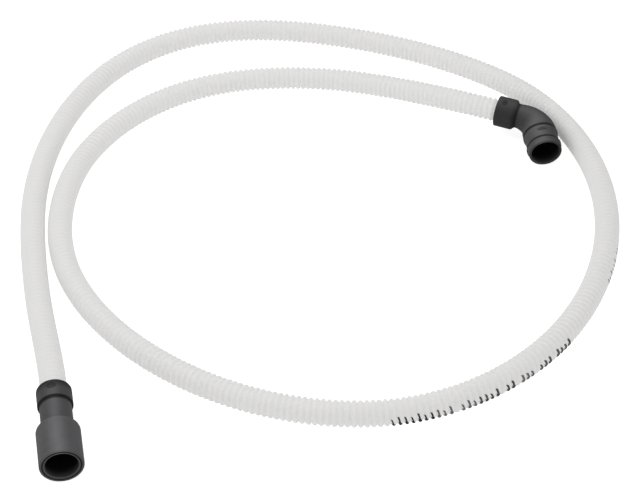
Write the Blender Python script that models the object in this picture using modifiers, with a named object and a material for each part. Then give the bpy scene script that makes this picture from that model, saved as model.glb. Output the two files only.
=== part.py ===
"""Dishwasher drain hose: a corrugated hose with a straight rubber cuff and an elbow cuff.

The hose lies on the floor in a little over one and a half turns, with a cuff moulded on each end.
Units are metres and +Z is up. The origin is on the floor, at the middle of the two cuffs' box.
The straight cuff's mouth faces -Y.
"""
import math

import bmesh
import bpy
import numpy as np
from mathutils import Matrix, Vector

# Hose, over the crests of its corrugations
HOSE_OD = 0.0215
HOSE_FLOOR_GAP = 0.0001
HOSE_POINT_SPACING = 0.030
HOSE_SIDE_STEPS = 4

# Collar that grips the hose, alike on both cuffs, and the socket in it where the hose is seated
COLLAR_LENGTH = 0.0162
COLLAR_WALL = 0.0029
COLLAR_EDGE = 0.0009
COLLAR_FOOT_EDGE = 0.0004
SOCKET_CLEARANCE = 0.0003
SOCKET_FLOOR_SETBACK = 0.0004
SOCKET_LEAD_IN = 0.0005

# Mouth that goes over a drain spigot, and the waterway behind it, alike on both cuffs
MOUTH_BORE = 0.0252
MOUTH_LEAD_IN = 0.0006
WATERWAY = 0.0168

# Straight cuff: a thick body, a square shoulder, a long neck and the collar
BODY_WALL = 0.0044
BODY_LENGTH = 0.0363
BODY_SWELL = 0.0001
BODY_EDGE = 0.0008
SHOULDER_EDGE = 0.0022
SHOULDER_RISE = 0.0010
STRAIGHT_NECK_WALL = 0.0041
STRAIGHT_NECK_LENGTH = 0.0260
BORE_DEPTH = 0.0330
BORE_FLOOR_TAPER = 0.0030
RIM_LAND = 0.0009
RIM_GROOVE_WIDTH = 0.0010
RIM_GROOVE_DEPTH = 0.0007

# Elbow cuff: walls outside the mouth's bore, and its rings; the second ring is set back from the bend
LIP_WALL = 0.0023
LIP_EDGE = 0.0007
WAIST_WALL = 0.0021
RING_WALL = 0.0032
RING_CREST = 0.0012
RING_EDGE = 0.0004
FIRST_RING_AT = 0.0057
SECOND_RING_SETBACK = 0.0070
SECOND_RING_SWELL = 0.0075
BAND_WALL = 0.0022
GROOVE_WALL = 0.0015
GROOVE_WIDTH = 0.0014
BEND_WALL = 0.0028

# Elbow cuff: its axis, and the bore along it
TAIL_LENGTH = 0.0276
BEND_RADIUS = 0.0260
BEND_ANGLE = math.radians(61.0)
ELBOW_NECK_LENGTH = 0.0024
ELBOW_NECK_WALL = 0.0028
COLLAR_CHAMFER = 0.0026
ELBOW_BORE_DEPTH = 0.0190
ELBOW_BORE_TAPER = 0.0090

# Where the cuffs lie: the middle of each mouth, and how the elbow's mouth is turned and tipped
STRAIGHT_MOUTH = (-0.2280, -0.1798)
ELBOW_MOUTH = (0.2278, 0.1063)
ELBOW_YAW = math.radians(-3.7)
ELBOW_TIP = math.radians(6.6)

# The hose's own route between the cuffs: x, y and the lift of its axis above where it would lie
HOSE_ROUTE = (
    (-0.2285, -0.0720, 0.0050), (-0.2305, -0.0360, 0.0032), (-0.2325, 0.0000, 0.0013),
    (-0.2330, 0.0730, 0.0), (-0.2275, 0.1450, 0.0), (-0.2105, 0.2150, 0.0),
    (-0.1790, 0.2815, 0.0), (-0.1310, 0.3365, 0.0), (-0.0680, 0.3670, 0.0),
    (0.0030, 0.3670, 0.0), (0.0720, 0.3430, 0.0), (0.1345, 0.3070, 0.0),
    (0.1910, 0.2605, 0.0), (0.2360, 0.2035, 0.0), (0.2600, 0.1370, 0.0),
    (0.2640, 0.0650, 0.0), (0.2490, -0.0060, 0.0), (0.2160, -0.0710, 0.0),
    (0.1670, -0.1245, 0.0), (0.1045, -0.1605, 0.0), (0.0340, -0.1730, 0.0),
    (-0.0360, -0.1585, 0.0), (-0.0995, -0.1225, 0.0), (-0.1510, -0.0720, 0.0),
    (-0.1885, -0.0110, 0.0), (-0.2078, 0.0580, 0.0), (-0.2040, 0.1305, 0.0),
    (-0.1780, 0.1985, 0.0), (-0.1290, 0.2515, 0.0), (-0.0645, 0.2805, 0.0),
    (0.0070, 0.2815, 0.0), (0.0770, 0.2580, 0.0020), (0.1400, 0.2150, 0.0075),
)

# Facets round a cuff, along an arc of its outline, along the bend and up a ring's swell
CUFF_SIDES = 40
ARC_STEPS = 4
BEND_STEPS = 10
SWELL_SHARES = (0.0, 0.4, 0.7, 0.9)
SHARP_ANGLE = math.radians(35.0)
WELD_DISTANCE = 0.000005

# Worked out from the sizes above
HOSE_RADIUS = HOSE_OD / 2
SOCKET_RADIUS = HOSE_RADIUS + SOCKET_CLEARANCE
SOCKET_DEPTH = COLLAR_LENGTH - SOCKET_FLOOR_SETBACK
COLLAR_RADIUS = SOCKET_RADIUS + COLLAR_WALL
BORE_RADIUS = MOUTH_BORE / 2
WATERWAY_RADIUS = WATERWAY / 2
BODY_RADIUS = BORE_RADIUS + BODY_WALL
SHOULDER_RADIUS = BODY_RADIUS + BODY_SWELL
STRAIGHT_NECK_RADIUS = WATERWAY_RADIUS + STRAIGHT_NECK_WALL
STRAIGHT_LENGTH = BODY_LENGTH + STRAIGHT_NECK_LENGTH + COLLAR_LENGTH
RING_RADIUS = BORE_RADIUS + RING_WALL
GROOVE_RADIUS = BORE_RADIUS + GROOVE_WALL
SECOND_RING_AT = TAIL_LENGTH - SECOND_RING_SETBACK
BEND_LENGTH = BEND_RADIUS * BEND_ANGLE
COLLAR_FOOT_AT = TAIL_LENGTH + BEND_LENGTH + ELBOW_NECK_LENGTH + COLLAR_CHAMFER
ELBOW_LENGTH = COLLAR_FOOT_AT + COLLAR_LENGTH


def clear_scene():
    """Remove every object that the scene starts with."""
    for obj in list(bpy.data.objects):
        bpy.data.objects.remove(obj, do_unlink=True)


def new_collection(name):
    """A collection linked to the scene."""
    collection = bpy.data.collections.new(name)
    bpy.context.scene.collection.children.link(collection)
    return collection


def new_material(name, colour, roughness):
    """A Principled material of one colour."""
    material = bpy.data.materials.new(name)
    material.use_nodes = True
    shader = material.node_tree.nodes["Principled BSDF"]
    shader.inputs["Base Color"].default_value = (*colour, 1.0)
    shader.inputs["Roughness"].default_value = roughness
    shader.inputs["Metallic"].default_value = 0.0
    return material


def arc_points(centre, radius, start, end, steps):
    """Points of an arc about centre, from the angle start to the angle end."""
    angles = np.linspace(start, end, steps + 1)
    return [(centre[0] + radius * math.cos(a), centre[1] + radius * math.sin(a)) for a in angles]


def straight_cuff_outline():
    """Closed outline of the straight cuff's wall as radius and distance from the mouth face."""
    length = STRAIGHT_LENGTH
    collar_foot = length - COLLAR_LENGTH
    socket_floor = length - SOCKET_DEPTH
    quarter = math.pi / 2
    groove_inner = BORE_RADIUS + MOUTH_LEAD_IN + RIM_LAND
    groove_outer = groove_inner + RIM_GROOVE_WIDTH
    groove_draft = RIM_GROOVE_WIDTH / 5
    collar_edge_centre = (COLLAR_RADIUS - COLLAR_EDGE, length - COLLAR_EDGE)
    shoulder_edge_centre = (SHOULDER_RADIUS - SHOULDER_EDGE, BODY_LENGTH - SHOULDER_EDGE)
    mouth_edge_centre = (BODY_RADIUS - BODY_EDGE, BODY_EDGE)

    outer = arc_points(collar_edge_centre, COLLAR_EDGE, quarter, 0.0, ARC_STEPS)
    outer += [(COLLAR_RADIUS, collar_foot + COLLAR_FOOT_EDGE)]
    outer += [(COLLAR_RADIUS - COLLAR_FOOT_EDGE, collar_foot)]
    outer += [(STRAIGHT_NECK_RADIUS, collar_foot), (STRAIGHT_NECK_RADIUS, BODY_LENGTH + SHOULDER_RISE)]
    outer += arc_points(shoulder_edge_centre, SHOULDER_EDGE, quarter, 0.0, ARC_STEPS)
    outer += arc_points(mouth_edge_centre, BODY_EDGE, 0.0, -quarter, ARC_STEPS)
    rim = [
        (groove_outer, 0.0),
        (groove_outer - groove_draft, RIM_GROOVE_DEPTH),
        (groove_inner + groove_draft, RIM_GROOVE_DEPTH),
        (groove_inner, 0.0),
        (BORE_RADIUS + MOUTH_LEAD_IN, 0.0),
    ]
    inner = [
        (BORE_RADIUS, MOUTH_LEAD_IN),
        (BORE_RADIUS, BORE_DEPTH),
        (WATERWAY_RADIUS, BORE_DEPTH + BORE_FLOOR_TAPER),
        (WATERWAY_RADIUS, socket_floor),
        (SOCKET_RADIUS, socket_floor),
        (SOCKET_RADIUS, length - SOCKET_LEAD_IN),
        (SOCKET_RADIUS + SOCKET_LEAD_IN, length),
    ]
    return outer + rim + inner


def turned_mesh(name, outline):
    """A mesh edge loop of a closed outline in the XZ plane, ready for a Screw modifier about Z."""
    mesh = bpy.data.meshes.new(name)
    count = len(outline)
    edges = [(i, (i + 1) % count) for i in range(count)]
    mesh.from_pydata([(r, 0.0, z) for r, z in outline], edges, [])
    return mesh


def make_straight_cuff(collection, material):
    """The stepped straight cuff, turned about its axis and laid on its body with the mouth to -Y."""
    cuff = bpy.data.objects.new("straight_cuff", turned_mesh("straight_cuff", straight_cuff_outline()))
    cuff.data.materials.append(material)
    screw = cuff.modifiers.new("turn", "SCREW")
    screw.axis = "Z"
    screw.angle = 2 * math.pi
    screw.steps = CUFF_SIDES
    screw.render_steps = CUFF_SIDES
    screw.merge_threshold = WELD_DISTANCE
    screw.use_smooth_shade = True
    cuff.location = (*STRAIGHT_MOUTH, SHOULDER_RADIUS)
    cuff.rotation_euler = (-math.pi / 2, 0.0, 0.0)
    collection.objects.link(cuff)
    return cuff


def elbow_axis(distance):
    """Point and heading of the elbow's axis at a distance back from the mouth, in the elbow's own frame.

    The axis runs back along +Y for the tail, then bends towards -X with the bend radius, then runs straight
    through the neck and the collar.
    """
    along_bend = min(max(distance - TAIL_LENGTH, 0.0), BEND_LENGTH)
    angle = along_bend / BEND_RADIUS
    x = -BEND_RADIUS * (1 - math.cos(angle))
    y = min(distance, TAIL_LENGTH) + BEND_RADIUS * math.sin(angle)
    heading = Vector((-math.sin(angle), math.cos(angle), 0.0))
    past_bend = max(distance - TAIL_LENGTH - BEND_LENGTH, 0.0)
    return Vector((x, y, 0.0)) + heading * past_bend, heading


def ring_sections(ring_at, swell, start_radius):
    """Sections of one raised ring: its swell up to the crest, and the groove behind the crest."""
    crest_end = ring_at + RING_CREST
    groove_start = crest_end + RING_EDGE
    sections = []
    for share in SWELL_SHARES:
        radius = start_radius + (RING_RADIUS - start_radius) * share**2
        sections.append((ring_at - swell * (1 - share), radius))
    sections += [(ring_at, RING_RADIUS), (crest_end, RING_RADIUS)]
    sections += [(crest_end + RING_EDGE / 2, RING_RADIUS - RING_EDGE / 2)]
    sections += [(groove_start, GROOVE_RADIUS), (groove_start + GROOVE_WIDTH, GROOVE_RADIUS)]
    return sections


def elbow_outer_sections():
    """Outer radius of the elbow at distances back from the mouth."""
    lip_radius = BORE_RADIUS + LIP_WALL
    waist_radius = BORE_RADIUS + WAIST_WALL
    band_radius = BORE_RADIUS + BAND_WALL
    bend_radius = BORE_RADIUS + BEND_WALL
    neck_radius = WATERWAY_RADIUS + ELBOW_NECK_WALL
    neck_at = TAIL_LENGTH + BEND_LENGTH
    sections = [(0.0, lip_radius - LIP_EDGE), (0.3 * LIP_EDGE, lip_radius - 0.3 * LIP_EDGE)]
    sections += [(LIP_EDGE, lip_radius)]
    sections += ring_sections(FIRST_RING_AT, 0.65 * FIRST_RING_AT, waist_radius)
    sections += [(sections[-1][0] + RING_EDGE / 2, band_radius)]
    sections += ring_sections(SECOND_RING_AT, SECOND_RING_SWELL, band_radius)
    sections += [(sections[-1][0] + RING_EDGE / 2, bend_radius)]
    for step in range(BEND_STEPS + 1):
        share = step / BEND_STEPS
        radius = bend_radius * (1 - share) + neck_radius * share
        sections.append((TAIL_LENGTH + BEND_LENGTH * share, radius))
    sections += [(neck_at + ELBOW_NECK_LENGTH, neck_radius), (COLLAR_FOOT_AT, COLLAR_RADIUS)]
    sections += [(ELBOW_LENGTH - COLLAR_EDGE, COLLAR_RADIUS)]
    sections += [(ELBOW_LENGTH - 0.3 * COLLAR_EDGE, COLLAR_RADIUS - 0.3 * COLLAR_EDGE)]
    sections += [(ELBOW_LENGTH, COLLAR_RADIUS - COLLAR_EDGE)]
    return sections


def elbow_bore_sections():
    """Radius of the elbow's bore at distances back from the mouth, past both ends."""
    past_end = 0.002
    step_draft = 0.00005
    taper_end = ELBOW_BORE_DEPTH + ELBOW_BORE_TAPER
    bend_from = max(taper_end, TAIL_LENGTH)
    bend_to = TAIL_LENGTH + BEND_LENGTH
    socket_floor = ELBOW_LENGTH - SOCKET_DEPTH
    mouth_radius = BORE_RADIUS + MOUTH_LEAD_IN
    open_radius = SOCKET_RADIUS + SOCKET_LEAD_IN
    sections = [(-past_end, mouth_radius), (0.0, mouth_radius), (MOUTH_LEAD_IN, BORE_RADIUS)]
    sections += [(ELBOW_BORE_DEPTH, BORE_RADIUS), (taper_end, WATERWAY_RADIUS)]
    for step in range(1 if bend_from == taper_end else 0, BEND_STEPS + 1):
        sections.append((bend_from + (bend_to - bend_from) * step / BEND_STEPS, WATERWAY_RADIUS))
    sections += [(socket_floor, WATERWAY_RADIUS), (socket_floor + step_draft, SOCKET_RADIUS)]
    sections += [(ELBOW_LENGTH - SOCKET_LEAD_IN, SOCKET_RADIUS)]
    sections += [(ELBOW_LENGTH, open_radius), (ELBOW_LENGTH + past_end, open_radius)]
    return sections


def swept_curve(name, centres, radii, side_steps):
    """A POLY curve through the centres, bevelled to the radius at each, with filled caps."""
    curve = bpy.data.curves.new(name, "CURVE")
    curve.dimensions = "3D"
    spline = curve.splines.new("POLY")
    spline.points.add(len(centres) - 1)
    for point, centre, radius in zip(spline.points, centres, radii):
        point.co = (*centre, 1.0)
        point.radius = radius
    curve.bevel_depth = 1.0
    curve.bevel_resolution = side_steps
    curve.use_fill_caps = True
    return bpy.data.objects.new(name, curve)


def swept_mesh(name, sections, collection):
    """A closed mesh swept along the elbow's axis with the radius of each section."""
    centres = [elbow_axis(distance)[0] for distance, _ in sections]
    radii = [radius for _, radius in sections]
    # A round bevel has four sides and two more for each step of its resolution
    guide = swept_curve(name + "_sweep", centres, radii, (CUFF_SIDES - 4) // 2)
    collection.objects.link(guide)
    depsgraph = bpy.context.evaluated_depsgraph_get()
    mesh = bpy.data.meshes.new_from_object(guide.evaluated_get(depsgraph))
    mesh.name = name
    bm = bmesh.new()
    bm.from_mesh(mesh)
    bmesh.ops.remove_doubles(bm, verts=bm.verts, dist=WELD_DISTANCE)
    bmesh.ops.recalc_face_normals(bm, faces=bm.faces)
    bm.to_mesh(mesh)
    bm.free()
    obj = bpy.data.objects.new(name, mesh)
    obj.matrix_world = guide.matrix_world
    bpy.data.objects.remove(guide, do_unlink=True)
    collection.objects.link(obj)
    return obj


def elbow_placement():
    """World matrix of the elbow: its lowest section before the bend touches the floor, tipped and turned."""
    reaches = [
        radius * math.cos(ELBOW_TIP) - distance * math.sin(ELBOW_TIP)
        for distance, radius in elbow_outer_sections()
        if distance < TAIL_LENGTH
    ]
    height = max(reaches)
    turn = Matrix.Rotation(ELBOW_YAW, 4, "Z") @ Matrix.Rotation(ELBOW_TIP, 4, "X")
    return Matrix.Translation((*ELBOW_MOUTH, height)) @ turn


def make_elbow_cuff(collection, cutters, material):
    """The elbow cuff: a flared bend with two raised rings, bored from the mouth to the hose's socket."""
    placement = elbow_placement()
    cuff = swept_mesh("elbow_cuff", elbow_outer_sections(), collection)
    cuff.data.materials.clear()
    cuff.data.materials.append(material)
    cuff.matrix_world = placement
    bore = swept_mesh("elbow_bore_cutter", elbow_bore_sections(), cutters)
    bore.matrix_world = placement
    bore.display_type = "WIRE"
    bore.hide_render = True
    cut = cuff.modifiers.new("bore", "BOOLEAN")
    cut.operation = "DIFFERENCE"
    cut.solver = "EXACT"
    cut.object = bore
    cuff.data.shade_smooth()
    cuff.data.set_sharp_from_angle(angle=SHARP_ANGLE)
    return cuff


def smooth_curve(points, start_heading, end_heading, spacing):
    """Points at even steps on the cubic spline through points, with unit headings given at its two ends."""
    knots = np.array(points, dtype=float)
    chord = np.linalg.norm(np.diff(knots, axis=0), axis=1)
    slope = np.diff(knots, axis=0) / chord[:, None]
    count = len(knots)
    system = np.zeros((count, count))
    right = np.zeros((count, 3))
    system[0, 0] = system[-1, -1] = 1.0
    right[0] = start_heading
    right[-1] = end_heading
    for i in range(1, count - 1):
        system[i, i - 1 : i + 2] = (chord[i], 2 * (chord[i - 1] + chord[i]), chord[i - 1])
        right[i] = 3 * (chord[i] * slope[i - 1] + chord[i - 1] * slope[i])
    tangent = np.linalg.solve(system, right)
    ends = np.concatenate([[0.0], np.cumsum(chord)])
    steps = max(2, round(ends[-1] / spacing))
    along = np.linspace(0.0, ends[-1], steps + 1)
    span = np.clip(np.searchsorted(ends, along, side="right") - 1, 0, count - 2)
    t = ((along - ends[span]) / chord[span])[:, None]
    width = chord[span][:, None]
    return (
        (2 * t**3 - 3 * t**2 + 1) * knots[span]
        + (t**3 - 2 * t**2 + t) * width * tangent[span]
        + (3 * t**2 - 2 * t**3) * knots[span + 1]
        + (t**3 - t**2) * width * tangent[span + 1]
    )


def hose_centres():
    """Centres of the hose: seated in the straight cuff's socket, along its route, and into the elbow's."""
    out_of_collar = 0.003
    straight_axis = Vector((0.0, 1.0, 0.0))
    straight_mouth = Vector((*STRAIGHT_MOUTH, SHOULDER_RADIUS))
    first_seat = straight_mouth + straight_axis * (STRAIGHT_LENGTH - SOCKET_DEPTH + SOCKET_CLEARANCE)
    first_out = straight_mouth + straight_axis * (STRAIGHT_LENGTH + out_of_collar)
    placement = elbow_placement()
    last_seat = placement @ elbow_axis(ELBOW_LENGTH - SOCKET_DEPTH + SOCKET_CLEARANCE)[0]
    last_out = placement @ elbow_axis(ELBOW_LENGTH + out_of_collar)[0]
    lying = HOSE_RADIUS + HOSE_FLOOR_GAP
    route = [first_out]
    route += [Vector((x, y, lying + lift)) for x, y, lift in HOSE_ROUTE]
    route += [last_out]
    end_heading = (last_seat - last_out).normalized()
    between = smooth_curve(route, straight_axis, end_heading, HOSE_POINT_SPACING)
    between[:, 2] = np.maximum(between[:, 2], lying)
    return [first_seat, *between, last_seat]


def make_hose(collection, material):
    """The hose as one plain tube over its corrugations' crests."""
    centres = hose_centres()
    hose = swept_curve("corrugated_hose", centres, [HOSE_RADIUS] * len(centres), HOSE_SIDE_STEPS)
    hose.data.materials.append(material)
    collection.objects.link(hose)
    return hose


def main():
    clear_scene()
    parts = new_collection("dishwasher_drain_hose")
    cutters = new_collection("cutters")
    white_plastic = new_material("translucent_polypropylene", (0.78, 0.78, 0.76), 0.42)
    straight_rubber = new_material("straight_cuff_rubber", (0.030, 0.029, 0.030), 0.55)
    elbow_rubber = new_material("elbow_cuff_rubber", (0.028, 0.028, 0.029), 0.55)
    make_hose(parts, white_plastic)
    make_straight_cuff(parts, straight_rubber)
    make_elbow_cuff(parts, cutters, elbow_rubber)


main()
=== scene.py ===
"""Looks of the dishwasher drain hose: the corrugated tube, its printed strokes and the two rubber cuffs.

Lengths are in metres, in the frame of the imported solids: +Z is up and the floor is at Z = 0.
"""

import math

import bpy
import numpy as np
from mathutils import Matrix, Vector


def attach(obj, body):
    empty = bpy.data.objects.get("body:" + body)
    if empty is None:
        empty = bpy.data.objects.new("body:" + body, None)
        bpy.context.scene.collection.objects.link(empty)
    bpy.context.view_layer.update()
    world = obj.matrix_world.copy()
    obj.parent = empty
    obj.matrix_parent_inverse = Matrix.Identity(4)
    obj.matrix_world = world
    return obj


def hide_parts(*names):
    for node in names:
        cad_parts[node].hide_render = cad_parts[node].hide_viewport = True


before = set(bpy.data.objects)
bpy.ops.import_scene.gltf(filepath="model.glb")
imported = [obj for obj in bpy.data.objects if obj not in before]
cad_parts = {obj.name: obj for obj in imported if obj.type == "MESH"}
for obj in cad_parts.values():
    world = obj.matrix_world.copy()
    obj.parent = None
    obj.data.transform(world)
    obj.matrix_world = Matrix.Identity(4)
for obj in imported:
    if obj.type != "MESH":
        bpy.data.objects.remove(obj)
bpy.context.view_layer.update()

# The hose: diameter over the crests, depth and pitch of the corrugations, bore, and the mesh over them
HOSE_OD = 0.0215
HOSE_FLOOR_GAP = 0.0001
RIB_PITCH = 0.00490
RIB_DEPTH = 0.0021
RIB_FULLNESS = 0.55
RIB_SHADE = 0.1
HOSE_BORE = 0.0158
HOSE_SIDES = 24
RINGS_PER_RIB = 8
RIBS_PER_BORE_RING = 3
CENTRELINE_STEP = 0.0006

# The printed line: groups of marked ribs, each with its first rib, how many there are and how dark
INK_GROUPS = (
    (234, 10, 0.30),
    (259, 4, 0.85),
    (264, 3, 0.85),
    (268, 3, 0.75),
    (272, 2, 0.90),
    (275, 4, 0.90),
    (279, 3, 0.75),
    (283, 3, 0.80),
    (286, 7, 1.00),
)

# One rib's two strokes: the two angles that a stroke runs between round the hose, the two places that it runs
# between along the hose, from the rib's crest, and its width
INK_UPRIGHT = (-26.0, 14.0, 0.0001, 0.0020, 0.0013)
INK_FOOT = (-34.0, -14.0, 0.0001, 0.0007, 0.0025)

# A stroke's height above the rib and depth in its wall, the mesh over it, and how far and how fast its reach
# varies from rib to rib
INK_PROUD = 0.00005
INK_SUNK = 0.00025
INK_ROWS = 7
INK_COLUMNS = 9
INK_REACH_SPREAD = 0.2
INK_REACH_TURN = 2.4

# The collar that grips the hose, alike on both cuffs, and the socket in it
COLLAR_LENGTH = 0.0162
COLLAR_WALL = 0.0029
COLLAR_EDGE = 0.0009
COLLAR_FOOT_EDGE = 0.0004
SOCKET_CLEARANCE = 0.0003
SOCKET_FLOOR_SETBACK = 0.0004
SOCKET_LEAD_IN = 0.0005
OUT_OF_COLLAR = 0.003

# The mouth that goes over a spigot, and the waterway behind it, alike on both cuffs
MOUTH_BORE = 0.0252
MOUTH_LEAD_IN = 0.0006
WATERWAY = 0.0168

# The straight cuff
BODY_WALL = 0.0044
BODY_LENGTH = 0.0363
BODY_SWELL = 0.0001
BODY_EDGE = 0.0008
SHOULDER_EDGE = 0.0022
SHOULDER_RISE = 0.0010
STRAIGHT_NECK_WALL = 0.0041
STRAIGHT_NECK_LENGTH = 0.0260
BORE_DEPTH = 0.0330
BORE_FLOOR_TAPER = 0.0030
RIM_LAND = 0.0009
RIM_GROOVE_WIDTH = 0.0010
RIM_GROOVE_DEPTH = 0.0007

# The elbow cuff
LIP_WALL = 0.0023
LIP_EDGE = 0.0007
WAIST_WALL = 0.0021
RING_WALL = 0.0032
RING_CREST = 0.0012
RING_EDGE = 0.0004
FIRST_RING_AT = 0.0057
FIRST_RING_SWELL = 0.0037
SECOND_RING_SETBACK = 0.0070
SECOND_RING_SWELL = 0.0075
BAND_WALL = 0.0022
GROOVE_WALL = 0.0015
GROOVE_WIDTH = 0.0014
BEND_WALL = 0.0028
TAIL_LENGTH = 0.0276
BEND_RADIUS = 0.0260
BEND_ANGLE = math.radians(61.0)
ELBOW_NECK_LENGTH = 0.0024
ELBOW_NECK_WALL = 0.0028
COLLAR_CHAMFER = 0.0026
ELBOW_BORE_DEPTH = 0.0190
ELBOW_BORE_TAPER = 0.0090

# Roundings of the corners that have none above: crisp and small ones, then those of the straight cuff's neck
# and bore, and those of the elbow's grooves, bend, neck, collar and bore
CRISP_EDGE = 0.0002
SMALL_EDGE = 0.0003
STRAIGHT_NECK_EDGE = 0.0012
BORE_FLOOR_EDGE = 0.0006
WATERWAY_EDGE = 0.0010
GROOVE_EDGE = 0.00025
BEND_START_EDGE = 0.0010
BEND_END_EDGE = 0.0020
ELBOW_NECK_EDGE = 0.0008
ELBOW_COLLAR_EDGE = 0.0010
ELBOW_BORE_EDGE = 0.0020

# Where the cuffs lie
STRAIGHT_MOUTH = (-0.2280, -0.1798)
ELBOW_MOUTH = (0.2278, 0.1063)
ELBOW_HEIGHT = 0.01504
ELBOW_YAW = math.radians(-3.7)
ELBOW_TIP = math.radians(6.6)

# The hose's route between the cuffs: x, y and the lift of its axis above where it would lie
HOSE_ROUTE = (
    (-0.2285, -0.0720, 0.0050), (-0.2305, -0.0360, 0.0032), (-0.2325, 0.0000, 0.0013),
    (-0.2330, 0.0730, 0.0), (-0.2275, 0.1450, 0.0), (-0.2105, 0.2150, 0.0),
    (-0.1790, 0.2815, 0.0), (-0.1310, 0.3365, 0.0), (-0.0680, 0.3670, 0.0),
    (0.0030, 0.3670, 0.0), (0.0720, 0.3430, 0.0), (0.1345, 0.3070, 0.0),
    (0.1910, 0.2605, 0.0), (0.2360, 0.2035, 0.0), (0.2600, 0.1370, 0.0),
    (0.2640, 0.0650, 0.0), (0.2490, -0.0060, 0.0), (0.2160, -0.0710, 0.0),
    (0.1670, -0.1245, 0.0), (0.1045, -0.1605, 0.0), (0.0340, -0.1730, 0.0),
    (-0.0360, -0.1585, 0.0), (-0.0995, -0.1225, 0.0), (-0.1510, -0.0720, 0.0),
    (-0.1885, -0.0110, 0.0), (-0.2078, 0.0580, 0.0), (-0.2040, 0.1305, 0.0),
    (-0.1780, 0.1985, 0.0), (-0.1290, 0.2515, 0.0), (-0.0645, 0.2805, 0.0),
    (0.0070, 0.2815, 0.0), (0.0770, 0.2580, 0.0020), (0.1400, 0.2150, 0.0075),
)

# Mesh of the cuffs: sides round, longest step along an outline, and steps across a rounded corner
CUFF_SIDES = 144
OUTLINE_STEP = 0.0006
CORNER_STEPS = 5
SWELL_STEPS = 8

# Worked out from the sizes above
HOSE_RADIUS = HOSE_OD / 2
SOCKET_RADIUS = HOSE_RADIUS + SOCKET_CLEARANCE
SOCKET_DEPTH = COLLAR_LENGTH - SOCKET_FLOOR_SETBACK
COLLAR_RADIUS = SOCKET_RADIUS + COLLAR_WALL
BORE_RADIUS = MOUTH_BORE / 2
WATERWAY_RADIUS = WATERWAY / 2
BODY_RADIUS = BORE_RADIUS + BODY_WALL
SHOULDER_RADIUS = BODY_RADIUS + BODY_SWELL
STRAIGHT_NECK_RADIUS = WATERWAY_RADIUS + STRAIGHT_NECK_WALL
STRAIGHT_FOOT_AT = BODY_LENGTH + STRAIGHT_NECK_LENGTH
STRAIGHT_LENGTH = STRAIGHT_FOOT_AT + COLLAR_LENGTH
RING_RADIUS = BORE_RADIUS + RING_WALL
GROOVE_RADIUS = BORE_RADIUS + GROOVE_WALL
GROOVE_END = RING_CREST + RING_EDGE + GROOVE_WIDTH
SECOND_RING_AT = TAIL_LENGTH - SECOND_RING_SETBACK
BEND_LENGTH = BEND_RADIUS * BEND_ANGLE
ELBOW_NECK_AT = TAIL_LENGTH + BEND_LENGTH
COLLAR_FOOT_AT = ELBOW_NECK_AT + ELBOW_NECK_LENGTH + COLLAR_CHAMFER
ELBOW_LENGTH = COLLAR_FOOT_AT + COLLAR_LENGTH

# The middle of each cuff's wall: radius by distance from the mouth, which parts the outside from the bore
STRAIGHT_WALL = (
    (0.0, 0.0134),
    (BODY_LENGTH, 0.0134),
    (BODY_LENGTH + 0.0006, 0.0105),
    (STRAIGHT_FOOT_AT + 0.0002, 0.0105),
    (STRAIGHT_FOOT_AT + 0.0004, 0.0125),
)
ELBOW_WALL = (
    (0.0, 0.0134),
    (ELBOW_BORE_DEPTH, 0.0132),
    (ELBOW_BORE_DEPTH + ELBOW_BORE_TAPER, 0.0100),
    (COLLAR_FOOT_AT, 0.0100),
    (COLLAR_FOOT_AT + 0.0003, 0.0125),
)

# How far the rubber is darkened, from 0 to 1, by distance from the mouth: outside, and in the bore.
# In the grooves, the corners, the bore and on the elbow's mouth face this is painted shade; the straight
# cuff's neck, the bend and the collars are just darker. Each stretch has one level, and goes over into the
# next within the distance between two places.
BEND_TONE = 0.25
NECK_TONE = 0.20
# Painted shade in the corner before each collar
CORNER_SHADE = 0.85
STRAIGHT_COLLAR_TONE = 0.35
ELBOW_COLLAR_TONE = 0.50
COLLAR_END_TONE = 0.80
STRAIGHT_TONE = (
    (BODY_LENGTH, 0.0),
    (BODY_LENGTH + 0.0040, NECK_TONE),
    (STRAIGHT_FOOT_AT - 0.0034, NECK_TONE),
    (STRAIGHT_FOOT_AT - 0.0018, CORNER_SHADE),
    (STRAIGHT_FOOT_AT - 0.0002, CORNER_SHADE),
    (STRAIGHT_FOOT_AT + 0.0006, STRAIGHT_COLLAR_TONE),
    (STRAIGHT_LENGTH - 0.0085, STRAIGHT_COLLAR_TONE),
    (STRAIGHT_LENGTH - 0.0020, COLLAR_END_TONE),
)
# Painted shade in each ring's groove, by distance from the ring
GROOVE_SHADE = ((-0.0004, 0.0), (0.0006, 1.0), (0.0020, 1.0), (0.0029, 0.0))
ELBOW_TONE = (
    (0.0, ELBOW_COLLAR_TONE),
    (0.0010, 0.0),
    *((FIRST_RING_AT + place, tone) for place, tone in GROOVE_SHADE),
    *((SECOND_RING_AT + place, tone) for place, tone in GROOVE_SHADE),
    (TAIL_LENGTH, 0.0),
    (TAIL_LENGTH + 0.5 * BEND_LENGTH, BEND_TONE),
    (ELBOW_NECK_AT - 0.0010, BEND_TONE),
    (ELBOW_NECK_AT + 0.0014, CORNER_SHADE),
    (ELBOW_NECK_AT + ELBOW_NECK_LENGTH, CORNER_SHADE),
    (ELBOW_NECK_AT + ELBOW_NECK_LENGTH + 0.0010, ELBOW_COLLAR_TONE),
)
# Painted shade in the bore, deepest furthest in
BORE_SHADE = ((0.0, 0.30), (0.0060, 0.90), (0.0090, 1.0))

# Painted shade on the straight cuff's rim, which faces the front, and in the groove in it: how far each is
# darkened, and how deep and how wide the shade reaches, as shares of the groove's depth and width
RIM_SHADE = 0.15
RIM_GROOVE_SHADE = 0.85
RIM_SHADE_DEPTH = 1.1
RIM_GROOVE_SHADE_WIDTH = 0.6

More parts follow.
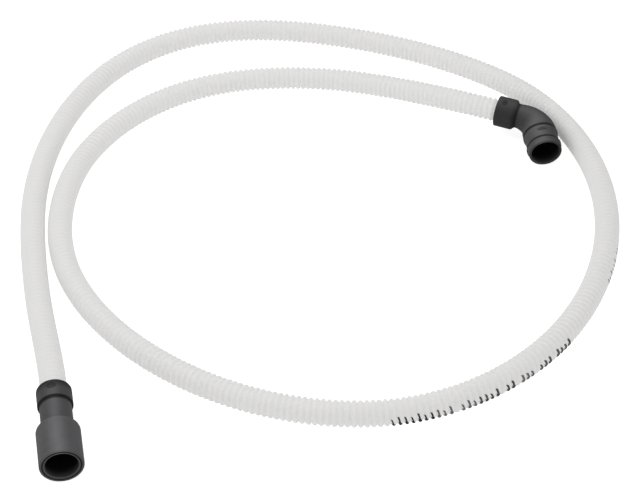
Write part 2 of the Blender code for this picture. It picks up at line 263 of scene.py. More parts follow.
# Painted light and shade round each cuff: a lit strip left along the top, and painted shade on the flanks.
# For
# each: where the lit strip's middle lies and how wide it is, in degrees about the axis, and how far its
# right-hand and its left-hand flank are darkened.
STRAIGHT_LIT_TOP = (92.0, 20.0, 0.45, 0.40)
TAIL_LIT_TOP = (105.0, 30.0, 0.65, 0.40)
BEND_LIT_TOP = (95.0, 32.0, 0.90, 0.50)

# Where along the elbow the tail's painted light and shade goes over into the bend's
LIT_TOP_BLEND = (TAIL_LENGTH - 0.0020, TAIL_LENGTH + 0.4 * BEND_LENGTH)

# Plain ovals pressed in the rubber: distance from the mouth, angle, half length, half width and depth. Then
# how far they are darkened, and the share of an oval that its soft edge takes up.
STRAIGHT_OVALS = ((STRAIGHT_LENGTH - 0.0063, 94.0, 0.0038, 0.0045, 0.0002),)
ELBOW_OVALS = (
    (0.0163, 93.0, 0.0020, 0.0055, 0.0002),
    (ELBOW_LENGTH - 0.0072, 97.0, 0.0030, 0.0036, 0.0002),
)
OVAL_TONE = 0.50
OVAL_EDGE = 0.25

# Colours of the rubber, of the bloom that mottles it, and the near black that it is darkened towards: painted
# shade, and the darker ovals and stretches
STRAIGHT_RUBBER = (0.141, 0.140, 0.145)
STRAIGHT_BLOOM = (0.204, 0.202, 0.210)
ELBOW_RUBBER = (0.120, 0.119, 0.120)
ELBOW_BLOOM = (0.174, 0.173, 0.174)
SHADE_AND_TONE_RUBBER = (0.006, 0.006, 0.006)

# Colours of the plastic, of what mottles it, of the ribs' roots, painted paler as painted light against the
# shade in them, of the glow, painted light that stands for the light coming through the tube, and the colours
# of the faintest and the fullest ink
PLASTIC = (0.700, 0.700, 0.692)
PLASTIC_BLOOM = (0.716, 0.711, 0.702)
PLASTIC_ROOT_PAINTED_LIGHT = (0.77, 0.77, 0.76)
PLASTIC_GLOW = (0.90, 0.895, 0.88)
PLASTIC_GLOW_LEVEL = 0.19
INK_FAINT = (0.62, 0.61, 0.62)
INK_FULL = (0.008, 0.005, 0.010)

# How fine the mottling and the grain are on every moulded surface, and how much of the bloom shows
MOTTLE_SCALE = 110.0
GRAIN_SCALE = 2600.0
BLOOM_SHARE = 0.8
ROUGHNESS_SPREAD = 0.10

# The lights: one wide soft lamp, the world's level, and the floor's own light on the object and to the camera
LAMP_PLACE = (-0.45, 0.35, 1.2)
LAMP_TARGET = (0.0, 0.2, 0.0)
LAMP_SIZE = (1.2, 1.0)
LAMP_POWER = 3.5
WORLD_LEVEL = 0.67
FLOOR_REACH = 6.0
FLOOR_BOUNCE = 0.12
FLOOR_GLOW = 0.72

# The camera: a long lens above the front, turned a little to the right, on a 640 x 503 frame
CAMERA_PLACE = (-0.1794, -1.0709, 0.9753)
CAMERA_YAW = math.radians(-9.6)
CAMERA_PITCH = math.radians(49.0)
CAMERA_ROLL = math.radians(-2.0)
CAMERA_LENS = 97.71
CAMERA_SENSOR = 36.0


def unit(rows):
    """Each row divided by its length."""
    return rows / np.linalg.norm(rows, axis=-1, keepdims=True)


def new_mesh(name, points, quads):
    """A smooth mesh of quads: points is (..., 3) and quads is (..., 4) indices of its rows."""
    faces = quads.reshape(-1, 4)
    mesh = bpy.data.meshes.new(name)
    mesh.vertices.add(points.size // 3)
    mesh.vertices.foreach_set("co", np.ascontiguousarray(points, dtype=np.float32).reshape(-1))
    mesh.loops.add(faces.size)
    mesh.loops.foreach_set("vertex_index", faces.reshape(-1).astype(np.int32))
    mesh.polygons.add(len(faces))
    mesh.polygons.foreach_set("loop_start", (4 * np.arange(len(faces))).astype(np.int32))
    mesh.update(calc_edges=True)
    mesh.validate()
    mesh.shade_smooth()
    return mesh


def closed_grid(name, grid):
    """A mesh over a grid of points (rings, sides, 3) that closes on itself both ways, like a tyre.

    Each face joins (i, j), (i, j + 1), (i + 1, j + 1) and (i + 1, j), with the last row next to the first.
    """
    rings, sides = grid.shape[:2]
    i = np.arange(rings)[:, None]
    j = np.arange(sides)[None, :]
    i_next = (i + 1) % rings
    j_next = (j + 1) % sides
    corners = [i * sides + j, i * sides + j_next, i_next * sides + j_next, i_next * sides + j]
    return new_mesh(name, grid, np.stack(np.broadcast_arrays(*corners), axis=-1))


def add_values(mesh, name, values):
    """A number for each point of a mesh, which its material reads."""
    attribute = mesh.attributes.new(name, "FLOAT", "POINT")
    attribute.data.foreach_set("value", np.ascontiguousarray(values, dtype=np.float32).reshape(-1))


def add_piece(name, mesh, material):
    """A piece at the origin, with its place in its mesh, that rides on the one body."""
    piece = bpy.data.objects.new(name, mesh)
    bpy.context.scene.collection.objects.link(piece)
    mesh.materials.append(material)
    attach(piece, "root")
    return piece


def smooth_curve(points, start_heading, end_heading, spacing):
    """Points at even steps on the cubic spline through points, with unit headings given at its two ends."""
    knots = np.array(points, dtype=float)
    chord = np.linalg.norm(np.diff(knots, axis=0), axis=1)
    slope = np.diff(knots, axis=0) / chord[:, None]
    count = len(knots)
    system = np.zeros((count, count))
    right = np.zeros((count, 3))
    system[0, 0] = system[-1, -1] = 1.0
    right[0] = start_heading
    right[-1] = end_heading
    for i in range(1, count - 1):
        system[i, i - 1 : i + 2] = (chord[i], 2 * (chord[i - 1] + chord[i]), chord[i - 1])
        right[i] = 3 * (chord[i] * slope[i - 1] + chord[i - 1] * slope[i])
    tangent = np.linalg.solve(system, right)
    ends = np.concatenate([[0.0], np.cumsum(chord)])
    steps = max(2, round(ends[-1] / spacing))
    along = np.linspace(0.0, ends[-1], steps + 1)
    span = np.clip(np.searchsorted(ends, along, side="right") - 1, 0, count - 2)
    t = ((along - ends[span]) / chord[span])[:, None]
    width = chord[span][:, None]
    return (
        (2 * t**3 - 3 * t**2 + 1) * knots[span]
        + (t**3 - 2 * t**2 + t) * width * tangent[span]
        + (3 * t**2 - 2 * t**3) * knots[span + 1]
        + (t**3 - t**2) * width * tangent[span + 1]
    )


def straight_axis(distance):
    """Points of the straight cuff's axis at distances back from its mouth, with its side and up headings."""
    distance = np.asarray(distance, dtype=float)
    mouth = np.array([*STRAIGHT_MOUTH, SHOULDER_RADIUS])
    points = mouth + distance[..., None] * np.array([0.0, 1.0, 0.0])
    side = np.broadcast_to(np.array([1.0, 0.0, 0.0]), points.shape)
    up = np.broadcast_to(np.array([0.0, 0.0, 1.0]), points.shape)
    return points, side, up


def elbow_axis(distance):
    """Points of the elbow's axis at distances back from its mouth, with its side and up headings.

    The axis runs back along the tail, turns through the bend on an arc of the bend radius, then runs straight
    through the neck and the collar. Then all of it is tipped about X, turned about Z and set at the mouth.
    """
    distance = np.asarray(distance, dtype=float)
    angle = np.clip(distance - TAIL_LENGTH, 0.0, BEND_LENGTH) / BEND_RADIUS
    past_bend = np.maximum(distance - TAIL_LENGTH - BEND_LENGTH, 0.0)
    flat = np.zeros_like(distance)
    heading = np.stack([-np.sin(angle), np.cos(angle), flat], axis=-1)
    x = -BEND_RADIUS * (1 - np.cos(angle))
    y = np.minimum(distance, TAIL_LENGTH) + BEND_RADIUS * np.sin(angle)
    points = np.stack([x, y, flat], axis=-1) + heading * past_bend[..., None]
    side = np.stack([np.cos(angle), np.sin(angle), flat], axis=-1)
    up = np.stack([flat, flat, flat + 1.0], axis=-1)
    turn = np.array(Matrix.Rotation(ELBOW_YAW, 3, "Z") @ Matrix.Rotation(ELBOW_TIP, 3, "X"))
    mouth = np.array([*ELBOW_MOUTH, ELBOW_HEIGHT])
    return points @ turn.T + mouth, side @ turn.T, up @ turn.T


def hose_centreline():
    """The hose's axis as close points: a straight seat in each cuff's socket, and the spline between them."""
    seat = SOCKET_DEPTH - SOCKET_CLEARANCE
    first = straight_axis([STRAIGHT_LENGTH - seat, STRAIGHT_LENGTH + OUT_OF_COLLAR])[0]
    last = elbow_axis([ELBOW_LENGTH + OUT_OF_COLLAR, ELBOW_LENGTH - seat])[0]
    lying = HOSE_RADIUS + HOSE_FLOOR_GAP
    route = [first[1]]
    route += [(x, y, lying + lift) for x, y, lift in HOSE_ROUTE]
    route += [last[0]]
    between = smooth_curve(route, unit(first[1] - first[0]), unit(last[1] - last[0]), CENTRELINE_STEP)
    between[:, 2] = np.maximum(between[:, 2], lying)
    return np.vstack([first[0], between, last[1]])


class HoseLine:
    """The hose's axis by distance along it, with headings that point outwards from the loop and up."""

    def __init__(self):
        self.points = hose_centreline()
        steps = np.linalg.norm(np.diff(self.points, axis=0), axis=1)
        self.along = np.concatenate([[0.0], np.cumsum(steps)])
        self.length = float(self.along[-1])
        self.ribs = round(self.length / RIB_PITCH)
        self.pitch = self.length / self.ribs
        self.rings = np.linspace(0.0, self.length, self.ribs * RINGS_PER_RIB + 1)

    def points_at(self, distance):
        """Points of the axis, read by linear steps along the close points."""
        return np.stack([np.interp(distance, self.along, axis) for axis in self.points.T], axis=-1)

    def at(self, distance):
        """Points of the axis, and the headings outward from the loop and up at them."""
        reach = 2 * CENTRELINE_STEP
        heading = unit(self.points_at(distance + reach) - self.points_at(distance - reach))
        outward = unit(np.cross(np.array([0.0, 0.0, 1.0]), heading))
        up = np.cross(heading, outward)
        return self.points_at(distance), outward, up

    def rib_height(self, distance):
        """Share of a rib's depth, 1 on the crest and 0 at the root: ((1 + cos(turn)) / 2) ** fullness."""
        return (0.5 + 0.5 * np.cos(2 * np.pi * distance / self.pitch)) ** RIB_FULLNESS

    def rib_radius(self, distance):
        """Outer radius, read by linear steps between the mesh's rings."""
        at_rings = HOSE_RADIUS - RIB_DEPTH * (1 - self.rib_height(self.rings))
        return np.interp(distance, self.rings, at_rings)


def make_hose(line, material):
    """The corrugated tube: outer rings with the ribs' radius, then bore rings back, closed at both open ends.

    A point is centre + radius * spoke, with spoke = cos(angle) * outward + sin(angle) * up. The outer shading
    normal is spoke - share * slope * heading: the light that the thin wall lets through flattens its relief.
    """
    bore = np.linspace(line.length, 0.0, line.ribs // RIBS_PER_BORE_RING + 1)
    outer_radius = line.rib_radius(line.rings)
    distance = np.concatenate([line.rings, bore])
    radius = np.concatenate([outer_radius, np.full(len(bore), HOSE_BORE / 2)])
    centre, outward, up = line.at(distance)
    angle = np.linspace(0.0, 2 * np.pi, HOSE_SIDES, endpoint=False)
    spoke = np.cos(angle)[None, :, None] * outward[:, None] + np.sin(angle)[None, :, None] * up[:, None]
    mesh = closed_grid("corrugated_hose_ribs", centre[:, None] + radius[:, None, None] * spoke)
    lean = np.concatenate([RIB_SHADE * np.gradient(outer_radius, line.rings), np.zeros(len(bore))])
    facing = np.concatenate([np.ones(len(line.rings)), -np.ones(len(bore))])
    heading = np.cross(outward, up)
    normal = unit(spoke - (lean[:, None] * heading)[:, None]) * facing[:, None, None]
    mesh.normals_split_custom_set_from_vertices(normal.reshape(-1, 3))
    height = np.concatenate([line.rib_height(line.rings), np.zeros(len(bore))])
    add_values(mesh, "rib_height", np.repeat(height, HOSE_SIDES))
    hose = add_piece("corrugated_hose_ribs", mesh, material)
    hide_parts("corrugated_hose")
    return hose


def make_ink(line, material):
    """The printed line as thin closed patches: an upright stroke and a short foot on each marked rib.

    A stroke is a row of cross-sections. Each goes across its top, a little proud of the rib, and back across
    its underside, inside the wall. The ends are closed by quads between the two. A stroke's reach round the
    hose is (high - low) * (1 + spread * cos(turn * rib)).
    """
    ribs = np.concatenate([np.arange(first, first + count) for first, count, _ in INK_GROUPS])
    dark = np.concatenate([np.full(count, strength) for _, count, strength in INK_GROUPS])
    wave = 1 + INK_REACH_SPREAD * np.cos(INK_REACH_TURN * ribs)
    strokes = np.repeat(np.array([INK_UPRIGHT, INK_FOOT]).T, len(ribs), axis=1)
    strokes[1] = strokes[0] + (strokes[1] - strokes[0]) * np.tile(wave, 2)
    low, high, start, end, width = strokes[:, :, None, None]
    rib_at = (np.tile(ribs, 2) * line.pitch)[:, None, None]
    share = np.linspace(0.0, 1.0, INK_ROWS)[None, :, None]
    across = np.concatenate([np.linspace(-0.5, 0.5, INK_COLUMNS), np.linspace(0.5, -0.5, INK_COLUMNS)])
    lift = np.repeat([INK_PROUD, -INK_SUNK], INK_COLUMNS)
    angle = np.radians(low + (high - low) * share) + 0 * across
    distance = rib_at + start + (end - start) * share + width * across
    centre, outward, up = line.at(distance)
    spoke = np.cos(angle)[..., None] * outward + np.sin(angle)[..., None] * up
    points = centre + (line.rib_radius(distance) + lift)[..., None] * spoke
    around = 2 * INK_COLUMNS
    number = np.arange(angle.size).reshape(angle.shape)
    turned = np.roll(number, -1, axis=2)
    walls = np.stack([number[:, :-1], number[:, 1:], turned[:, 1:], turned[:, :-1]], axis=-1)
    i = np.arange(INK_COLUMNS - 1)
    cap = np.stack([i, i + 1, around - 2 - i, around - 1 - i], axis=-1)
    near = number[:, 0][:, cap]
    far = number[:, -1][:, cap[:, ::-1]]
    quads = np.concatenate([walls.reshape(-1, 4), near.reshape(-1, 4), far.reshape(-1, 4)])
    mesh = new_mesh("hose_print", points, quads)
    add_values(mesh, "ink", np.tile(dark, 2)[:, None, None] + 0 * angle)
    ink = add_piece("hose_print", mesh, material)
    return ink


def rounded_outline(corners):
    """A closed outline with every corner rounded.

    corners are (radius, distance, rounding). A corner P becomes the curve (1-t)^2 A + 2t(1-t) P + t^2 B, with
    A and B on its two edges, its rounding away from P. Long edges are then cut into equal shorter steps.
    """
    corners = np.array(corners, dtype=float)
    point = corners[:, None, :2]
    rounding = corners[:, None, 2:]
    before = point + rounding * unit(np.roll(point, 1, axis=0) - point)
    after = point + rounding * unit(np.roll(point, -1, axis=0) - point)
    t = np.linspace(0.0, 1.0, CORNER_STEPS + 1)[None, :, None]
    outline = ((1 - t) ** 2 * before + 2 * t * (1 - t) * point + t**2 * after).reshape(-1, 2)
    span = np.roll(outline, -1, axis=0) - outline
    parts = np.maximum(1, np.ceil(np.linalg.norm(span, axis=1) / OUTLINE_STEP)).astype(int)
    owner = np.repeat(np.arange(len(outline)), parts)
    share = (np.arange(parts.sum()) - np.repeat(np.cumsum(parts) - parts, parts)) / parts[owner]
    return outline[owner] + span[owner] * share[:, None]


def straight_outline():
    """Corners of the straight cuff's wall, from the collar's end down the outside and back up the bore."""
    length = STRAIGHT_LENGTH
    socket_floor = length - SOCKET_DEPTH
    groove_inner = BORE_RADIUS + MOUTH_LEAD_IN + RIM_LAND
    groove_outer = groove_inner + RIM_GROOVE_WIDTH
    draft = RIM_GROOVE_WIDTH / 5
    return rounded_outline(
        [
            (COLLAR_RADIUS, length, COLLAR_EDGE),
            (COLLAR_RADIUS, STRAIGHT_FOOT_AT, COLLAR_FOOT_EDGE),
            (STRAIGHT_NECK_RADIUS, STRAIGHT_FOOT_AT, SMALL_EDGE),
            (STRAIGHT_NECK_RADIUS, BODY_LENGTH + SHOULDER_RISE, STRAIGHT_NECK_EDGE),
            (SHOULDER_RADIUS, BODY_LENGTH, SHOULDER_EDGE),
            (BODY_RADIUS, 0.0, BODY_EDGE),
            (groove_outer, 0.0, CRISP_EDGE),
            (groove_outer - draft, RIM_GROOVE_DEPTH, CRISP_EDGE),
            (groove_inner + draft, RIM_GROOVE_DEPTH, CRISP_EDGE),
            (groove_inner, 0.0, CRISP_EDGE),
            (BORE_RADIUS + MOUTH_LEAD_IN, 0.0, CRISP_EDGE),
            (BORE_RADIUS, MOUTH_LEAD_IN, SMALL_EDGE),
            (BORE_RADIUS, BORE_DEPTH, BORE_FLOOR_EDGE),
            (WATERWAY_RADIUS, BORE_DEPTH + BORE_FLOOR_TAPER, WATERWAY_EDGE),
            (WATERWAY_RADIUS, socket_floor, SMALL_EDGE),
            (SOCKET_RADIUS, socket_floor, CRISP_EDGE),
            (SOCKET_RADIUS, length - SOCKET_LEAD_IN, CRISP_EDGE),
            (SOCKET_RADIUS + SOCKET_LEAD_IN, length, CRISP_EDGE),
        ]
    )


def ring_corners(ring_at, swell, start_radius):
    """Corners of one raised ring, mouth side first: a swell, a crest and a groove.

    The swell's radius is start + (ring - start) * share^2, with share from 0 to 1 along it.
    """
    crest_end = ring_at + RING_CREST
    groove_at = crest_end + RING_EDGE
    share = np.linspace(0.0, 1.0, SWELL_STEPS, endpoint=False)
    rise = start_radius + (RING_RADIUS - start_radius) * share**2
    corners = [(r, s, CRISP_EDGE) for r, s in zip(rise, ring_at - swell * (1 - share))]
    corners += [
        (RING_RADIUS, ring_at, CRISP_EDGE),
        (RING_RADIUS, crest_end + RING_EDGE / 2, SMALL_EDGE),
        (GROOVE_RADIUS, groove_at, GROOVE_EDGE),
        (GROOVE_RADIUS, groove_at + GROOVE_WIDTH, GROOVE_EDGE),
    ]
    return corners


def elbow_outline():
    """Corners of the elbow's wall, from the mouth over the outside to the collar and back down the bore."""
    lip_radius = BORE_RADIUS + LIP_WALL
    waist_radius = BORE_RADIUS + WAIST_WALL
    band_radius = BORE_RADIUS + BAND_WALL
    bend_radius = BORE_RADIUS + BEND_WALL
    neck_radius = WATERWAY_RADIUS + ELBOW_NECK_WALL
    socket_floor = ELBOW_LENGTH - SOCKET_DEPTH
    corners = [(BORE_RADIUS + MOUTH_LEAD_IN, 0.0, CRISP_EDGE), (lip_radius, 0.0, LIP_EDGE)]
    corners += ring_corners(FIRST_RING_AT, FIRST_RING_SWELL, waist_radius)
    corners += [(band_radius, FIRST_RING_AT + GROOVE_END + RING_EDGE / 2, CRISP_EDGE)]
    corners += ring_corners(SECOND_RING_AT, SECOND_RING_SWELL, band_radius)
    corners += [
        (bend_radius, SECOND_RING_AT + GROOVE_END + RING_EDGE / 2, SMALL_EDGE),
        (bend_radius, TAIL_LENGTH, BEND_START_EDGE),
        (neck_radius, ELBOW_NECK_AT, BEND_END_EDGE),
        (neck_radius, ELBOW_NECK_AT + ELBOW_NECK_LENGTH, ELBOW_NECK_EDGE),
        (COLLAR_RADIUS, COLLAR_FOOT_AT, ELBOW_COLLAR_EDGE),
        (COLLAR_RADIUS, ELBOW_LENGTH, COLLAR_EDGE),
        (SOCKET_RADIUS + SOCKET_LEAD_IN, ELBOW_LENGTH, CRISP_EDGE),
        (SOCKET_RADIUS, ELBOW_LENGTH - SOCKET_LEAD_IN, CRISP_EDGE),
        (SOCKET_RADIUS, socket_floor, CRISP_EDGE),
        (WATERWAY_RADIUS, socket_floor, SMALL_EDGE),
        (WATERWAY_RADIUS, ELBOW_BORE_DEPTH + ELBOW_BORE_TAPER, ELBOW_BORE_EDGE),
        (BORE_RADIUS, ELBOW_BORE_DEPTH, ELBOW_BORE_EDGE),
        (BORE_RADIUS, MOUTH_LEAD_IN, CRISP_EDGE),
    ]
    return rounded_outline(corners)


def read_table(table, places):
    """A table of (place, value) read at places by linear steps."""
    return np.interp(places, *np.transpose(table))


def lit_top_shade(strip, angle):
    """Painted shade by angle, which leaves a lit strip along the top and darkens the flanks:
    (middle - lean * sin(offset)) * (1 - exp(-(offset / width)^2)).

    The offset is the angle from the lit strip's middle, the short way round. The middle is the mean of the
    two flanks' shade, and the lean is half of what the right-hand flank has more than the left-hand one.
    """
    top, width, right, left = strip
    offset = np.mod(np.degrees(angle) - top + 180.0, 360.0) - 180.0
    middle, lean = (right + left) / 2, (right - left) / 2
    return (middle - lean * np.sin(np.radians(offset))) * (1 - np.exp(-((offset / width) ** 2)))


def cuff_tone(outline, wall, tone, lit_tops, angle):
    """How far each point is darkened over (outline, angle), painted shade and darker stretches:
    1 - (1 - tone by distance) * (1 - tone by angle).

    The tone by angle, painted light and shade round the axis, goes from the first of the two to the second
    over the blend's distances.
    """
    radius, distance = outline.T
    outside = radius > read_table(wall, distance)
    by_distance = np.where(outside, read_table(tone, distance), read_table(BORE_SHADE, distance))
    near, far = (lit_top_shade(strip, angle) for strip in lit_tops)
    share = np.interp(distance, LIT_TOP_BLEND, (0.0, 1.0))[:, None]
    by_angle = near + (far - near) * share
    return outside, 1 - (1 - by_distance[:, None]) * (1 - by_angle)


def cuff_mesh(outline, wall, axis, tone, lit_tops, ovals):
    """A closed outline carried round an axis: point = axis(distance) + radius * (cos * side + sin * up).

    An oval lowers the outside by depth * (3 u^2 - 2 u^3), with u = (1 - edge) / edge share kept in 0 to 1 and
    edge = hypot(distance offset / half length, arc / half width). Returns the points and how far each is
    darkened: painted shade, and the darker ovals and stretches.
    """
    radius, distance = outline.T
    angle = np.linspace(0.0, 2 * np.pi, CUFF_SIDES, endpoint=False)
    outside, painted_shade_and_tone = cuff_tone(outline, wall, tone, lit_tops, angle)
    radius = np.repeat(radius[:, None], CUFF_SIDES, axis=1)
    for oval_at, oval_angle, half_length, half_width, depth in ovals:
        arc = radius * (np.mod(angle - math.radians(oval_angle) + np.pi, 2 * np.pi) - np.pi)
        edge = np.hypot((distance[:, None] - oval_at) / half_length, arc / half_width)
        inside = np.clip((1 - edge) / OVAL_EDGE, 0.0, 1.0) * outside[:, None]
        smooth = inside**2 * (3 - 2 * inside)
        radius = radius - depth * smooth
        painted_shade_and_tone = 1 - (1 - painted_shade_and_tone) * (1 - OVAL_TONE * smooth)
    centre, side, up = axis(distance)
    spoke = np.cos(angle)[None, :, None] * side[:, None] + np.sin(angle)[None, :, None] * up[:, None]
    return centre[:, None] + radius[..., None] * spoke, painted_shade_and_tone


def make_straight_cuff(material):
    """The straight cuff: its outline turned about a straight axis, with painted shade on the rim and in its
    groove.
    """
    outline = straight_outline()
    lit_tops = (STRAIGHT_LIT_TOP, STRAIGHT_LIT_TOP)
    grid, painted_shade_and_tone = cuff_mesh(outline, STRAIGHT_WALL, straight_axis, STRAIGHT_TONE, lit_tops, STRAIGHT_OVALS)
    radius, distance = outline.T
    # Painted shade on the rim, which faces the front, and deeper in its groove, over the painted light and
    # shade by angle
    groove = BORE_RADIUS + MOUTH_LEAD_IN + RIM_LAND + RIM_GROOVE_WIDTH / 2
    on_rim = (radius > BORE_RADIUS) & (radius < BODY_RADIUS - BODY_EDGE)
    on_rim &= distance < RIM_SHADE_DEPTH * RIM_GROOVE_DEPTH
    in_groove = np.abs(radius - groove) < RIM_GROOVE_SHADE_WIDTH * RIM_GROOVE_WIDTH
    rim = np.where(in_groove, RIM_GROOVE_SHADE, RIM_SHADE)
    kept = lit_top_shade(STRAIGHT_LIT_TOP, np.linspace(0.0, 2 * np.pi, CUFF_SIDES, endpoint=False))
    painted_shade_and_tone = np.where(on_rim[:, None], 1 - (1 - rim[:, None]) * (1 - kept), painted_shade_and_tone)
    mesh = closed_grid("straight_cuff_moulding", grid)
    add_values(mesh, "painted_shade_and_tone", painted_shade_and_tone)
    cuff = add_piece("straight_cuff_moulding", mesh, material)
    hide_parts("straight_cuff")
    return cuff


def make_elbow_cuff(material):
    """The elbow cuff: its outline carried round the bent axis."""
    lit_tops = (TAIL_LIT_TOP, BEND_LIT_TOP)
    grid, painted_shade_and_tone = cuff_mesh(elbow_outline(), ELBOW_WALL, elbow_axis, ELBOW_TONE, lit_tops, ELBOW_OVALS)
    mesh = closed_grid("elbow_cuff_moulding", grid[::-1])
    add_values(mesh, "painted_shade_and_tone", painted_shade_and_tone[::-1])
    cuff = add_piece("elbow_cuff_moulding", mesh, material)
    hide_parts("elbow_cuff")
    return cuff


def new_material(name):
    """A material with a Principled shader, and its nodes and links."""
    material = bpy.data.materials.new(name)
    material.use_nodes = True
    tree = material.node_tree
    return material, tree, tree.nodes["Principled BSDF"]


def moulded_surface_group():
    """Node group for moulded surfaces: two colours mixed by mottling, roughness, and the grain's height."""
    group = bpy.data.node_groups.new("moulded_surface", "ShaderNodeTree")
    sockets = (
        ("Colour", "INPUT", "NodeSocketColor"),
        ("Bloom Colour", "INPUT", "NodeSocketColor"),
        ("Bloom", "INPUT", "NodeSocketFloat"),
        ("Mottle Scale", "INPUT", "NodeSocketFloat"),
        ("Grain Scale", "INPUT", "NodeSocketFloat"),
        ("Roughness", "INPUT", "NodeSocketFloat"),
        ("Roughness Spread", "INPUT", "NodeSocketFloat"),
        ("Colour", "OUTPUT", "NodeSocketColor"),
        ("Roughness", "OUTPUT", "NodeSocketFloat"),
        ("Height", "OUTPUT", "NodeSocketFloat"),
    )
    for name, way, kind in sockets:
        group.interface.new_socket(name=name, in_out=way, socket_type=kind)
    nodes = group.nodes
    link = group.links.new
    given = nodes.new("NodeGroupInput")
    result = nodes.new("NodeGroupOutput")
    place = nodes.new("ShaderNodeTexCoord")
    mottle = nodes.new("ShaderNodeTexNoise")
    mottle.inputs["Detail"].default_value = 3.0
    grain = nodes.new("ShaderNodeTexNoise")
    grain.inputs["Detail"].default_value = 2.0
    link(place.outputs["Object"], mottle.inputs["Vector"])
    link(place.outputs["Object"], grain.inputs["Vector"])
    link(given.outputs["Mottle Scale"], mottle.inputs["Scale"])
    link(given.outputs["Grain Scale"], grain.inputs["Scale"])
    share = nodes.new("ShaderNodeMath")
    share.operation = "MULTIPLY"
    link(mottle.outputs["Fac"], share.inputs[0])
    link(given.outputs["Bloom"], share.inputs[1])
    mix = nodes.new("ShaderNodeMix")
    mix.data_type = "RGBA"
    link(share.outputs[0], mix.inputs["Factor"])
    link(given.outputs["Colour"], mix.inputs["A"])
    link(given.outputs["Bloom Colour"], mix.inputs["B"])
    spread = nodes.new("ShaderNodeMath")
    spread.operation = "MULTIPLY_ADD"
    link(mottle.outputs["Fac"], spread.inputs[0])
    link(given.outputs["Roughness Spread"], spread.inputs[1])
    link(given.outputs["Roughness"], spread.inputs[2])
    link(mix.outputs["Result"], result.inputs["Colour"])
    link(spread.outputs[0], result.inputs["Roughness"])
    link(grain.outputs["Fac"], result.inputs["Height"])
    return group


def moulded_material(name, group, colour, bloom_colour, roughness, grain_height):
    """A material whose colour, roughness and fine grain come from the moulded surface group."""
    material, tree, shader = new_material(name)
    surface = tree.nodes.new("ShaderNodeGroup")
    surface.node_tree = group
    surface.inputs["Colour"].default_value = (*colour, 1.0)
    surface.inputs["Bloom Colour"].default_value = (*bloom_colour, 1.0)
    surface.inputs["Bloom"].default_value = BLOOM_SHARE
    surface.inputs["Mottle Scale"].default_value = MOTTLE_SCALE
    surface.inputs["Grain Scale"].default_value = GRAIN_SCALE
    surface.inputs["Roughness"].default_value = roughness
    surface.inputs["Roughness Spread"].default_value = ROUGHNESS_SPREAD
    bump = tree.nodes.new("ShaderNodeBump")
    bump.inputs["Distance"].default_value = grain_height
    bump.inputs["Strength"].default_value = 1.0
    tree.links.new(surface.outputs["Roughness"], shader.inputs["Roughness"])
    tree.links.new(surface.outputs["Height"], bump.inputs["Height"])
    tree.links.new(bump.outputs["Normal"], shader.inputs["Normal"])
    return material, tree, shader, surface.outputs["Colour"]


def mix_by_value(tree, attribute):
    """A colour mix from A to B by a number that the mesh holds for each point."""
    value = tree.nodes.new("ShaderNodeAttribute")
    value.attribute_name = attribute
    mix = tree.nodes.new("ShaderNodeMix")
    mix.data_type = "RGBA"
    tree.links.new(value.outputs["Fac"], mix.inputs["Factor"])
    return mix


def polypropylene_material(group):
    """Natural polypropylene: pale, with light scattered in its thin wall. The ribs' roots are painted paler,
    painted light against the shade that falls in them.

    A faint even glow, painted light, stands for the daylight that reaches the seen side through the tube.
    """
    material, tree, shader, colour = moulded_material(
        "translucent_polypropylene", group, PLASTIC, PLASTIC_BLOOM, roughness=0.5, grain_height=0.00001
    )
    shader.inputs["Emission Color"].default_value = (*PLASTIC_GLOW, 1.0)
    shader.inputs["Emission Strength"].default_value = PLASTIC_GLOW_LEVEL
    # The ribs' roots are painted paler: painted light against the shade that falls in them
    ribs = mix_by_value(tree, "rib_height")
    ribs.inputs["A"].default_value = (*PLASTIC_ROOT_PAINTED_LIGHT, 1.0)
    tree.links.new(colour, ribs.inputs["B"])
    tree.links.new(ribs.outputs["Result"], shader.inputs["Base Color"])
    shader.inputs["Subsurface Weight"].default_value = 0.5
    shader.inputs["Subsurface Radius"].default_value = (1.0, 0.95, 0.9)
    shader.inputs["Subsurface Scale"].default_value = 0.002
    shader.inputs["IOR"].default_value = 1.49
    return material


def ink_material():
    """Printing ink on the plastic, from faint to full."""
    material, tree, shader = new_material("hose_ink")
    ink = mix_by_value(tree, "ink")
    ink.inputs["A"].default_value = (*INK_FAINT, 1.0)
    ink.inputs["B"].default_value = (*INK_FULL, 1.0)
    tree.links.new(ink.outputs["Result"], shader.inputs["Base Color"])
    shader.inputs["Roughness"].default_value = 0.6
    shader.inputs["Specular IOR Level"].default_value = 0.2
    return material


def rubber_material(name, group, colour, bloom_colour):
    """Moulded rubber with a pale bloom, darkened by the mesh's values: painted shade, and darker ovals and
    stretches.
    """
    material, tree, shader, surface_colour = moulded_material(
        name, group, colour, bloom_colour, roughness=0.56, grain_height=0.00003
    )
    # Mixed towards near black by painted shade and by the darker ovals and stretches
    tone = mix_by_value(tree, "painted_shade_and_tone")
    tree.links.new(surface_colour, tone.inputs["A"])
    tone.inputs["B"].default_value = (*SHADE_AND_TONE_RUBBER, 1.0)
    tree.links.new(tone.outputs["Result"], shader.inputs["Base Color"])
    shader.inputs["Specular IOR Level"].default_value = 0.08
    return material


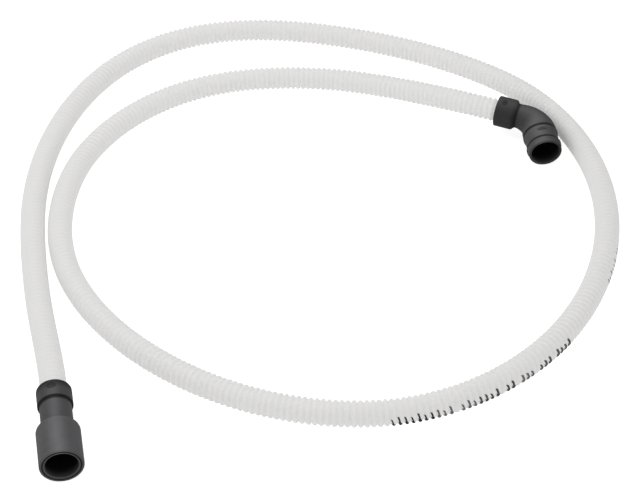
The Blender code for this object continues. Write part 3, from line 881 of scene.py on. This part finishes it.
def floor_material():
    """A white floor: plain white to the lamps, and near white to the camera but for the object's shadow."""
    material, tree, shader = new_material("studio_floor")
    shader.inputs["Base Color"].default_value = (0.9, 0.9, 0.9, 1.0)
    shader.inputs["Roughness"].default_value = 1.0
    shader.inputs["Specular IOR Level"].default_value = 0.0
    shader.inputs["Emission Color"].default_value = (1.0, 1.0, 1.0, 1.0)
    seen = tree.nodes.new("ShaderNodeLightPath")
    glow = tree.nodes.new("ShaderNodeMapRange")
    glow.inputs["To Min"].default_value = FLOOR_BOUNCE
    glow.inputs["To Max"].default_value = FLOOR_GLOW
    tree.links.new(seen.outputs["Is Camera Ray"], glow.inputs["Value"])
    tree.links.new(glow.outputs["Result"], shader.inputs["Emission Strength"])
    return material


def make_floor():
    """The plain floor, wide enough for every view."""
    mesh = bpy.data.meshes.new("studio_floor")
    corners = [(FLOOR_REACH * x, FLOOR_REACH * y, 0) for x, y in ((-1, -1), (1, -1), (1, 1), (-1, 1))]
    mesh.from_pydata(corners, [], [(0, 1, 2, 3)])
    floor = bpy.data.objects.new("studio_floor", mesh)
    mesh.materials.append(floor_material())
    bpy.context.scene.collection.objects.link(floor)


def make_lights():
    """A wide soft lamp overhead and a pale world, which looks white to the camera."""
    lamp = bpy.data.lights.new("overhead_softbox", "AREA")
    lamp.shape = "RECTANGLE"
    lamp.size, lamp.size_y = LAMP_SIZE
    lamp.energy = LAMP_POWER
    softbox = bpy.data.objects.new("overhead_softbox", lamp)
    softbox.location = LAMP_PLACE
    aim = Vector(LAMP_TARGET) - Vector(LAMP_PLACE)
    softbox.rotation_euler = aim.to_track_quat("-Z", "Y").to_euler()
    bpy.context.scene.collection.objects.link(softbox)
    world = bpy.data.worlds.new("studio_world")
    bpy.context.scene.world = world
    world.use_nodes = True
    tree = world.node_tree
    background = tree.nodes["Background"]
    background.inputs["Color"].default_value = (1.0, 1.0, 1.0, 1.0)
    seen = tree.nodes.new("ShaderNodeLightPath")
    either = tree.nodes.new("ShaderNodeMath")
    either.operation = "MAXIMUM"
    strength = tree.nodes.new("ShaderNodeMapRange")
    strength.inputs["To Min"].default_value = WORLD_LEVEL
    strength.inputs["To Max"].default_value = 1.0
    tree.links.new(seen.outputs["Is Camera Ray"], either.inputs[0])
    tree.links.new(seen.outputs["Is Transmission Ray"], either.inputs[1])
    tree.links.new(either.outputs[0], strength.inputs["Value"])
    tree.links.new(strength.outputs["Result"], background.inputs["Strength"])


def make_camera():
    """The camera at the photograph's viewing angle."""
    data = bpy.data.cameras.new("camera")
    data.sensor_fit = "HORIZONTAL"
    data.sensor_width = CAMERA_SENSOR
    data.lens = CAMERA_LENS
    data.clip_start = 0.01
    camera = bpy.data.objects.new("camera", data)
    turn = Matrix.Rotation(CAMERA_YAW, 4, "Z") @ Matrix.Rotation(CAMERA_PITCH, 4, "X")
    camera.matrix_world = Matrix.Translation(CAMERA_PLACE) @ turn @ Matrix.Rotation(CAMERA_ROLL, 4, "Z")
    bpy.context.scene.collection.objects.link(camera)
    bpy.context.scene.camera = camera


def main():
    bpy.context.scene.view_settings.view_transform = "Standard"
    make_camera()
    make_lights()
    make_floor()
    surface = moulded_surface_group()
    line = HoseLine()
    hose = make_hose(line, polypropylene_material(surface))
    ink = make_ink(line, ink_material())
    make_straight_cuff(rubber_material("straight_cuff_rubber", surface, STRAIGHT_RUBBER, STRAIGHT_BLOOM))
    make_elbow_cuff(rubber_material("elbow_cuff_rubber", surface, ELBOW_RUBBER, ELBOW_BLOOM))


main()
